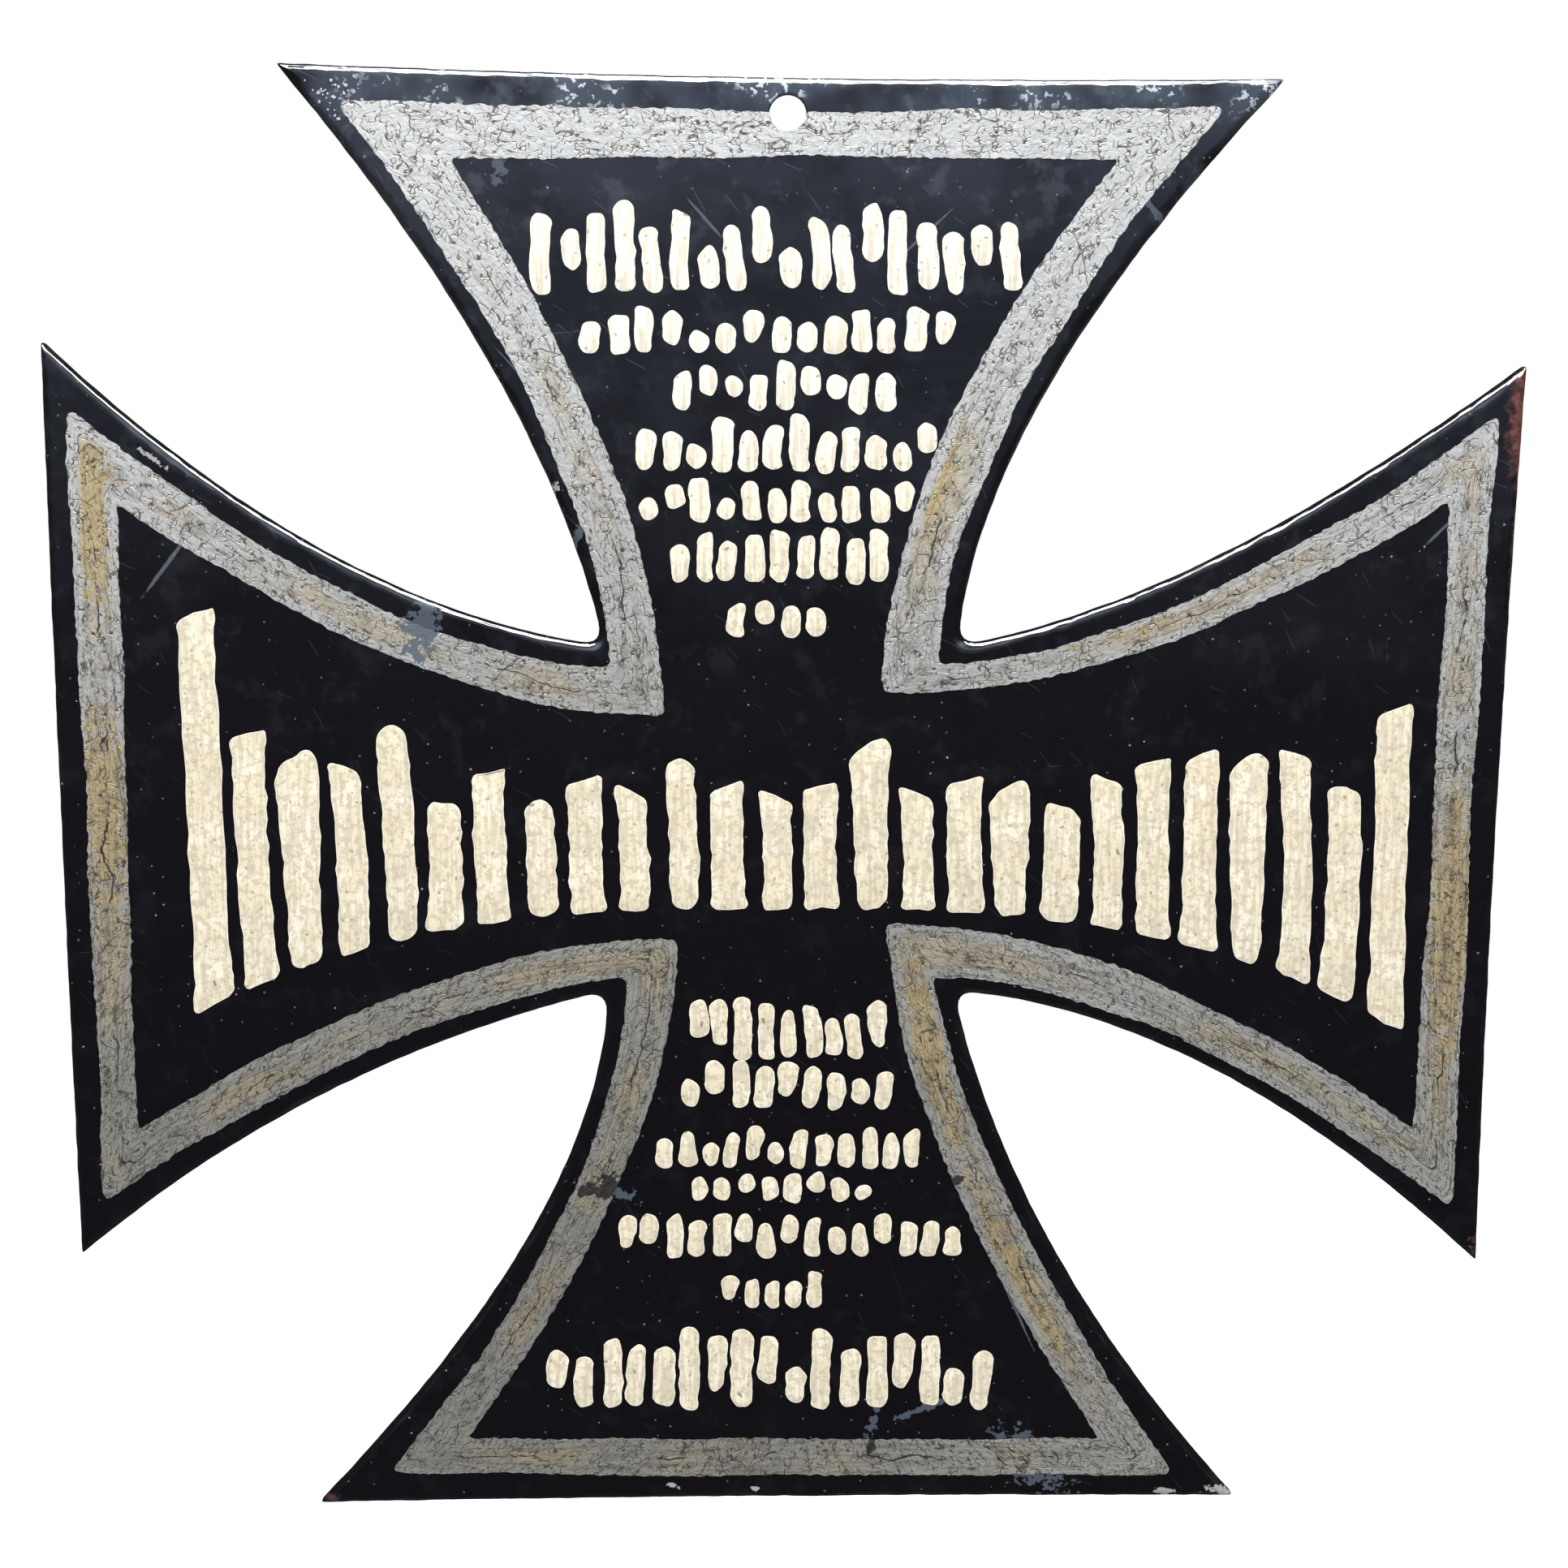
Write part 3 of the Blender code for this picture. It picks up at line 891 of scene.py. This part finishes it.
class AddPlate(bpy.types.Operator):
    """Adds the enamelled plate in the place of the CAD plate"""
    bl_idname = "cross.add_plate"
    bl_label = "Plate"

    def execute(self, context):
        clear()
        size = sizes()
        rings = [self.ring(inset, depth, swell) for inset, depth, swell in self.profile(size)]
        bpy.ops.mesh.primitive_circle_add(vertices=len(rings[0]), radius=ARM_REACH, fill_type="NGON")
        plate = active("plate")
        for vertex, point in zip(plate.data.vertices, rings[0]):
            vertex.co = point
        edit("ALL")
        for before, after in zip(rings, rings[1:]):
            self.raise_ring(plate, before, after)
        bpy.ops.mesh.select_all(action="SELECT")
        bpy.ops.mesh.normals_make_consistent(inside=False)
        done()
        cut_hole(plate)
        self.round_hole(size)
        self.divide_faces()
        level = [face for face in plate.data.polygons if abs(face.normal.y) > FACE_ON]
        flat = {index for face in level for index in face.vertices}
        rim = front_group(plate, "rim", lambda vertex: 0 if vertex.index in flat else 1)
        modify("DISPLACE", "lumps", texture=clouds("lumps", 0.0035, noise_depth=2), texture_coords="LOCAL",
               strength=size.arris_waver, mid_level=1.0, vertex_group=rim)
        shade = plate.data.attributes.new("arris_mask", "FLOAT", "POINT")
        shade.data.foreach_set("value", [0.0 if i in flat else 1.0 for i in range(len(plate.data.vertices))])
        join(plate, enamel_material(), 70)
        modify("WEIGHTED_NORMAL", "level_face", weight=100, keep_sharp=True)
        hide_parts("cross_plate")
        return {"FINISHED"}

    def profile(self, size):
        """The plate's edge from the back face to the front: how far in, how deep, and how much it wavers."""
        back, front = size.back_arris, size.arris
        found = []
        for step in range(4):
            angle = math.radians(30 * step)
            found.append((back * (1 - math.sin(angle)), -back * (1 - math.cos(angle)), 0))
        for step in range(7):
            angle = math.radians(15 * step)
            depth = -size.plate + front * (1 - math.sin(angle))
            found.append((front * (1 - math.cos(angle)), depth, size.arris_swell))
        found.append((front * 1.5, -size.plate, size.arris_swell))
        return found

    def ring(self, inset, depth, swell):
        """One loop round the plate; the painted edge is broader in some places than in others."""
        outer = plate_outline(OUTLINE_STEP)
        inner = plate_outline(OUTLINE_STEP, inset)
        points = []
        for a, b in zip(outer, inner):
            at = Vector((a.x, a.y, 0))
            share = 1 + swell * noise.noise(at * SLOW_SWELL) + swell * noise.noise(at * QUICK_SWELL) / 2
            point = a.lerp(b, share)
            points.append(place(point.x, point.y, depth))
        return points

    def raise_ring(self, plate, before, after):
        """Extrudes the front face and moves its rim from one loop to the next."""
        spots = {(round(point.x, 7), round(point.z, 7)): target for point, target in zip(before, after)}
        bpy.ops.mesh.extrude_region_move(TRANSFORM_OT_translate={"value": (0, 0, 0)})
        shape = bmesh.from_edit_mesh(plate.data)
        for vertex in shape.verts:
            if vertex.select:
                vertex.co = spots[round(vertex.co.x, 7), round(vertex.co.z, 7)]
        bmesh.update_edit_mesh(plate.data)

    def round_hole(self, size):
        """Rounds both edges of the hanging hole."""
        shape = edit()
        bpy.ops.mesh.select_mode(type="EDGE")
        for edge in shape.edges:
            ends = [Vector((vertex.co.x, vertex.co.z)).length for vertex in edge.verts]
            level = abs(edge.verts[0].co.y - edge.verts[1].co.y) < 1e-6
            edge.select = level and all(abs(end - size.hole / 2) < 1e-5 for end in ends)
        bmesh.update_edit_mesh(bpy.context.object.data)
        bpy.ops.mesh.bevel(offset=0.0003, segments=2, affect="EDGES")
        done()

    def divide_faces(self):
        """Cuts the two broad faces into squares."""
        edit()
        for way in ((1, 0, 0), (0, 0, 1)):
            for step in range(-SQUARES_OUT, SQUARES_OUT + 1):
                shape = bmesh.from_edit_mesh(bpy.context.object.data)
                select_faces(shape, lambda face: abs(face.normal.y) > FACE_ON)
                at = place(step * SQUARE, step * SQUARE)
                bpy.ops.mesh.bisect(plane_co=at, plane_no=way)
        done()


class AddSilverLine(bpy.types.Operator):
    """Adds the wrinkled silver line that follows the plate's edge"""
    bl_idname = "cross.add_silver_line"
    bl_label = "Silver line"

    rows = 26  # cells across the line

    def execute(self, context):
        clear()
        size = sizes()
        counts = [math.ceil(length / size.line_pitch) for length in LINE_LENGTHS]
        outer = self.brushed(line_edge(LINE_OUTER, counts, OUTER_TIP_CUT), 1)
        inner = self.brushed(line_edge(LINE_INNER, counts, INNER_TIP_CUT), 3)
        count = len(outer)
        bpy.ops.mesh.primitive_grid_add(x_subdivisions=count, y_subdivisions=self.rows, size=1)
        line = active("silver_line")
        self.lay(line, outer, inner, count, size)
        edit("ALL")
        bpy.ops.mesh.remove_doubles(threshold=1e-6)
        bpy.ops.mesh.select_all(action="DESELECT")
        bpy.ops.mesh.select_non_manifold(extend=False)
        bpy.ops.mesh.bridge_edge_loops()
        bpy.ops.mesh.select_all(action="SELECT")
        bpy.ops.mesh.normals_make_consistent(inside=False)
        done()
        half_way = -size.plate - size.line_film / 2
        body = front_group(line, "body", lambda vertex: 1 if vertex.co.y < half_way else 0)
        modify("DISPLACE", "swells", texture=clouds("swells", 0.004, noise_depth=1), texture_coords="LOCAL",
               direction="Y", strength=size.line_wrinkle * 0.6, mid_level=0.5, vertex_group=body)
        wrinkles = clouds("wrinkles", 0.0024, noise_type="HARD_NOISE", noise_depth=0)
        modify("DISPLACE", "wrinkles", texture=wrinkles, texture_coords="LOCAL", direction="Y",
               strength=size.line_wrinkle, mid_level=0.5, vertex_group=body)
        self.keep_in(line, size)
        cut_hole(line)
        join(line, silver_material(), 70)
        return {"FINISHED"}

    def brushed(self, points, seed):
        """An edge of the line as a brush leaves it, with a slow drift and a fine raggedness."""
        return [p + waver(p, 0.018, 0.0006, seed) + waver(p, 0.0013, 0.00032, seed + 1) for p in points]

    def lay(self, line, outer, inner, count, size):
        """Moves the grid's vertices onto the line and writes how far along and across each one is."""
        lengths = [0.0]
        for i in range(1, count + 1):
            a = (outer[i - 1] + inner[i - 1]) / 2
            b = (outer[i % count] + inner[i % count]) / 2
            lengths.append(lengths[-1] + (b - a).length)
        cells = {}
        for vertex in line.data.vertices:
            i = round((vertex.co.x + 0.5) * count)
            j = round((vertex.co.y + 0.5) * self.rows)
            cells[vertex.index] = (i, j)
            point = outer[i % count].lerp(inner[i % count], self.across(j))
            edge = j in (0, self.rows)
            depth = -size.plate + FILM_SUNK if edge else -size.plate - size.line_film
            vertex.co = place(point.x, point.y, depth)
        layer = line.data.uv_layers.active
        layer.name = "line"
        for loop in line.data.loops:
            i, j = cells[loop.vertex_index]
            width = (outer[i % count] - inner[i % count]).length
            layer.data[loop.index].uv = (lengths[i], (self.across(j) - 0.5) * width)

    def across(self, j):
        """How far across the line a row of the grid lies, with the outer rows close to the edges."""
        if j in (0, self.rows):
            return j / self.rows
        return 0.003 + 0.994 * (j - 1) / (self.rows - 2)

    def keep_in(self, line, size):
        """Holds the film between the plate's face and the front of the CAD box."""
        front, back = PLATE_LOW.y + 0.00001, -size.plate - 0.00001
        for vertex in line.data.vertices:
            if vertex.co.y < -size.plate:
                vertex.co.y = min(max(vertex.co.y, front), back)


class AddStrokes(bpy.types.Operator):
    """Adds the rows of plain cream brush strokes"""
    bl_idname = "cross.add_strokes"
    bl_label = "Cream strokes"

    def execute(self, context):
        material = cream_material()
        draw = random.Random(11)
        for name, rows in (("upper_row", UPPER_ROWS), ("lower_row", LOWER_ROWS)):
            for number, row in enumerate(rows, 1):
                self.finish_row(f"{name}_{number}", self.small_strokes(row, draw), material)
        self.finish_row("middle_row", self.tall_strokes(draw), material)
        return {"FINISHED"}

    def small_strokes(self, row, draw):
        """The strokes of a small row, side by side between its foot and its top."""
        pitch = (row.right - row.left) / row.count
        width = pitch * sizes().stroke_share
        tall = row.top - row.foot
        side = draw.choice((-1, 1))
        found = []
        for i, brush in enumerate(self.shuffled(SMALL_BRUSHES, row.count, draw)):
            length = max(tall * brush.length * draw.uniform(0.94, 1.03), width * 0.8)
            low = row.foot + draw.choice(brush.lifts) * tall + draw.uniform(-0.03, 0.03) * tall
            x = row.left + (i + 0.5 + draw.uniform(-0.05, 0.05)) * pitch
            wide = width * brush.wide * draw.uniform(0.92, 1.06)
            found.append(Stroke(x, low + length / 2, length, wide, brush, side, 0.0))
        return found

    def tall_strokes(self, draw):
        """The strokes of the middle row, whose feet follow the line below them."""
        size = sizes()
        count = round((TALL_RIGHT - TALL_LEFT) / size.stem_pitch)
        found = []
        for i, brush in enumerate(self.shuffled(TALL_BRUSHES, count, draw)):
            x = TALL_LEFT + (i + 0.5) * size.stem_pitch + draw.uniform(-0.0003, 0.0003)
            reach = abs(x) / TALL_RIGHT
            foot = FEET - FEET_DROP * reach ** FEET_POWER
            slope = -math.copysign(FEET_DROP * FEET_POWER / TALL_RIGHT * reach ** (FEET_POWER - 1), x)
            top = TOPS + TOPS_RISE * reach ** TOPS_POWER
            for tall_x, tall_top in TALL_ONES:
                if abs(x - tall_x) < size.stem_pitch / 2:
                    top = tall_top
            top -= (top - foot) * (1 - brush.length)
            wide = size.stem_width * brush.wide * draw.uniform(0.95, 1.05)
            found.append(Stroke(x, (foot + top) / 2, top - foot, wide, brush, 1, slope))
        return found

    def shuffled(self, brushes, count, draw):
        """A run of brushes in which no two alike stand side by side."""
        found = []
        while len(found) < count:
            brush = draw.choice(brushes)
            if not found or brush is not found[-1]:
                found.append(brush)
        return found

    def finish_row(self, name, strokes, material):
        """Models a row: one circle for each stroke, shaped in place, then raised off the plate together."""
        clear()
        size = sizes()
        row = None
        for stroke in strokes:
            bpy.ops.mesh.primitive_circle_add(
                vertices=LONG_SIDES if stroke.length > LONG_STROKE else SHORT_SIDES, radius=stroke.width / 2,
                fill_type="NGON", location=place(stroke.x, stroke.z, -size.plate + FILM_SUNK),
                rotation=(math.radians(90), 0, 0))
            if row is None:
                row = active(name)
                settle()
                edit("ALL")
            shape = bmesh.from_edit_mesh(row.data)
            for vertex in shape.verts:
                if vertex.select:
                    vertex.co = self.shaped(vertex.co, stroke)
            bmesh.update_edit_mesh(row.data)
            bpy.ops.mesh.select_all(action="DESELECT")
        bpy.ops.mesh.select_all(action="SELECT")
        bpy.ops.mesh.extrude_region_move(
            TRANSFORM_OT_translate={"value": (0, -size.stroke_film * 0.6 - FILM_SUNK, 0)})
        bpy.ops.mesh.select_all(action="SELECT")
        bpy.ops.mesh.normals_make_consistent(inside=False)
        shape = bmesh.from_edit_mesh(row.data)
        select_faces(shape, lambda face: face.normal.y < -0.9)
        bpy.ops.mesh.inset(thickness=LIP_WIDTH, depth=size.stroke_film * 0.35)
        done()
        # Marks the rims of the strokes, where the cream material paints a highlight.
        lip_highlight = row.data.attributes.new("lip_highlight", "FLOAT", "POINT")
        front = -size.plate - size.stroke_film * 0.8
        lip_highlight.data.foreach_set("value", [0.0 if vertex.co.y < front else 1.0 for vertex in row.data.vertices])
        join(row, material, 70)

    def shaped(self, at, stroke):
        """Where a point of a plain circle goes on the outline of a brush stroke."""
        brush = stroke.brush
        centre = place(stroke.x, stroke.z)
        radius = stroke.width / 2
        across, up = (at.x - centre.x) / radius, (at.z - centre.z) / radius
        half = stroke.length / 2
        height = half * math.sin(up * math.pi / 2)
        flare = max(brush.flare * stroke.length, LEAST_FLARE)
        near_head = max(0.0, 1 - (half - height) / flare) ** FLARE_POWER
        near_foot = max(0.0, 1 - (half + height) / flare) ** FLARE_POWER
        wide = radius * (1 + (brush.head - 1) * near_head + (brush.foot - 1) * near_foot)
        corner = min(brush.round * wide, half)
        from_end = half - abs(height)
        if from_end < corner:
            wide -= corner - math.sqrt(max(corner ** 2 - (corner - from_end) ** 2, 0))
        side = math.copysign(wide, across) if abs(across) > END_POINT else 0.0
        bend = brush.bow * stroke.length * stroke.side * (1 - (height / half) ** 2)
        t = (height / half + 1) / 2
        tilt = side * (brush.slant * stroke.side * t ** 3 + stroke.slope * (1 - t) ** 3)
        turned = Vector((side + bend, height + tilt))
        turned.rotate(Matrix.Rotation(brush.turn * stroke.side, 2))
        spot = turned + Vector((centre.x, centre.z))
        spot += waver(spot, 0.0021, 0.0004, 9) + waver(spot, 0.007, 0.0004, 12)
        return Vector((spot.x, at.y, spot.y))


class AddNibs(bpy.types.Operator):
    """Adds the specks of dust that the enamel has caught"""
    bl_idname = "cross.add_nibs"
    bl_label = "Dust nibs"

    def execute(self, context):
        clear()
        size = sizes()
        draw = random.Random(5)
        outline = plate_outline(0.003, 0.0015)
        cluster = Vector(NIB_CLUSTER)
        bpy.ops.mesh.primitive_ico_sphere_add(subdivisions=1, radius=0.0002)
        master = active("nib")
        copies = []
        while len(copies) < size.nibs:
            if len(copies) % 6 == 0:
                point = cluster + Vector((draw.gauss(0, 0.0022), draw.gauss(0, 0.0016)))
            else:
                point = Vector((draw.uniform(-0.124, 0.124), draw.uniform(-0.124, 0.124)))
            at = place(point.x, point.y, -size.plate)
            if not inside(point, outline) or at.length < 0.006:
                continue
            copy = master.copy()
            copy.data = master.data.copy()
            bpy.context.collection.objects.link(copy)
            grow = draw.uniform(1.1, 2.2) if len(copies) % 6 == 0 else draw.uniform(0.45, 1.1)
            copy.location = at
            copy.scale = (grow * draw.uniform(0.8, 1.5), min(grow * 0.55, 0.7), grow)
            copy.rotation_euler.y = draw.uniform(0, math.pi)
            copies.append(copy)
        bpy.data.objects.remove(master)
        clear()
        for copy in copies:
            copy.select_set(True)
        bpy.context.view_layer.objects.active = copies[0]
        bpy.ops.object.join()
        settle()
        nibs = active("dust_nibs")
        # The enamel paints these nibs pale: partly dust, partly painted glints.
        join(nibs, bpy.data.materials["black_enamel"], 180)
        return {"FINISHED"}


class AddStage(bpy.types.Operator):
    """Adds the floor, lights, sky and camera"""
    bl_idname = "cross.add_stage"
    bl_label = "Stage"

    def execute(self, context):
        clear()
        bpy.ops.mesh.primitive_plane_add(size=4, location=(0, 0.3, -0.8))
        settle()
        floor = active("floor")
        edit("ALL")
        bpy.ops.mesh.subdivide(number_cuts=8)
        done()
        floor.data.materials.append(floor_material())
        floor.visible_glossy = False
        for lamp in LAMPS:
            self.light(lamp)
        self.sky()
        bpy.ops.object.camera_add(location=CAMERA_PLACE, rotation=(math.radians(CAMERA_PITCH), 0, 0))
        camera = active("camera")
        camera.data.lens = 50
        camera.data.sensor_width = 36
        camera.data.clip_start = 0.01
        context.scene.camera = camera
        context.scene.view_settings.view_transform = "Standard"
        return {"FINISHED"}

    def light(self, given):
        """A soft light that faces the middle of the cross."""
        clear()
        aim = (place(0, 0) - Vector(given.where)).to_track_quat("-Z", "Y").to_euler()
        bpy.ops.object.light_add(type="AREA", location=given.where, rotation=aim)
        lamp = active(given.name)
        lamp.data.shape = "RECTANGLE"
        lamp.data.size, lamp.data.size_y = given.size
        lamp.data.energy = given.power
        lamp.data.color = given.colour
        lamp.visible_glossy = given.mirrored

    def sky(self):
        """White behind the object, with a soft bright band in the sky for everything else."""
        world = bpy.data.worlds.new("studio")
        bpy.context.scene.world = world
        world.use_nodes = True
        tree = world.node_tree
        build = Nodes(tree)
        away = build.apart(build.add("TexCoord", output="Generated"))
        up = away["Z"]
        ramp = tree.nodes.new("ShaderNodeValToRGB")
        tree.links.new(build.linear(up, 0.5, 0.5), ramp.inputs[0])
        stops = ramp.color_ramp.elements
        for stop, (position, colour) in zip(stops, SKY_ENDS):
            stop.position, stop.color = position, colour
        for position, colour in SKY_BETWEEN:
            stops.new(position).color = colour
        seen = build.add("LightPath", output="Is Camera Ray")
        dark = build.most(build.fade(away["Y"], -0.1, 0.2),
                          build.fade(build.magnitude(away["X"]), 0.4, 0.8))
        colour = build.mix(dark, ramp.outputs[0], SKY_DARK)
        colour = build.mix(seen, colour, (1, 1, 1, 1))
        build.give(tree.nodes["Background"].inputs["Color"], colour)


class CROSS_PT_panel(bpy.types.Panel):
    """Lists the pieces of the cross, with the sizes and colours that they read"""
    bl_idname = "CROSS_PT_panel"
    bl_label = "Grave cross"
    bl_space_type = "VIEW_3D"
    bl_region_type = "UI"
    bl_category = "Grave cross"

    def draw(self, context):
        for operator in OPERATORS:
            self.layout.operator(operator.bl_idname)
        for group in (context.scene.cross_sizes, context.scene.cross_colours):
            for name in group.__annotations__:
                self.layout.prop(group, name)


OPERATORS = (AddPlate, AddSilverLine, AddStrokes, AddNibs, AddStage)
CLASSES = (CrossSizes, CrossColours, *OPERATORS, CROSS_PT_panel)


def register():
    for kind in CLASSES:
        bpy.utils.register_class(kind)
    bpy.types.Scene.cross_sizes = bpy.props.PointerProperty(type=CrossSizes)
    bpy.types.Scene.cross_colours = bpy.props.PointerProperty(type=CrossColours)


def unregister():
    del bpy.types.Scene.cross_colours
    del bpy.types.Scene.cross_sizes
    for kind in reversed(CLASSES):
        bpy.utils.unregister_class(kind)


def main():
    register()
    bpy.ops.cross.add_plate()
    bpy.ops.cross.add_silver_line()
    bpy.ops.cross.add_strokes()
    bpy.ops.cross.add_nibs()
    bpy.ops.cross.add_stage()


if __name__ == "__main__":
    main()
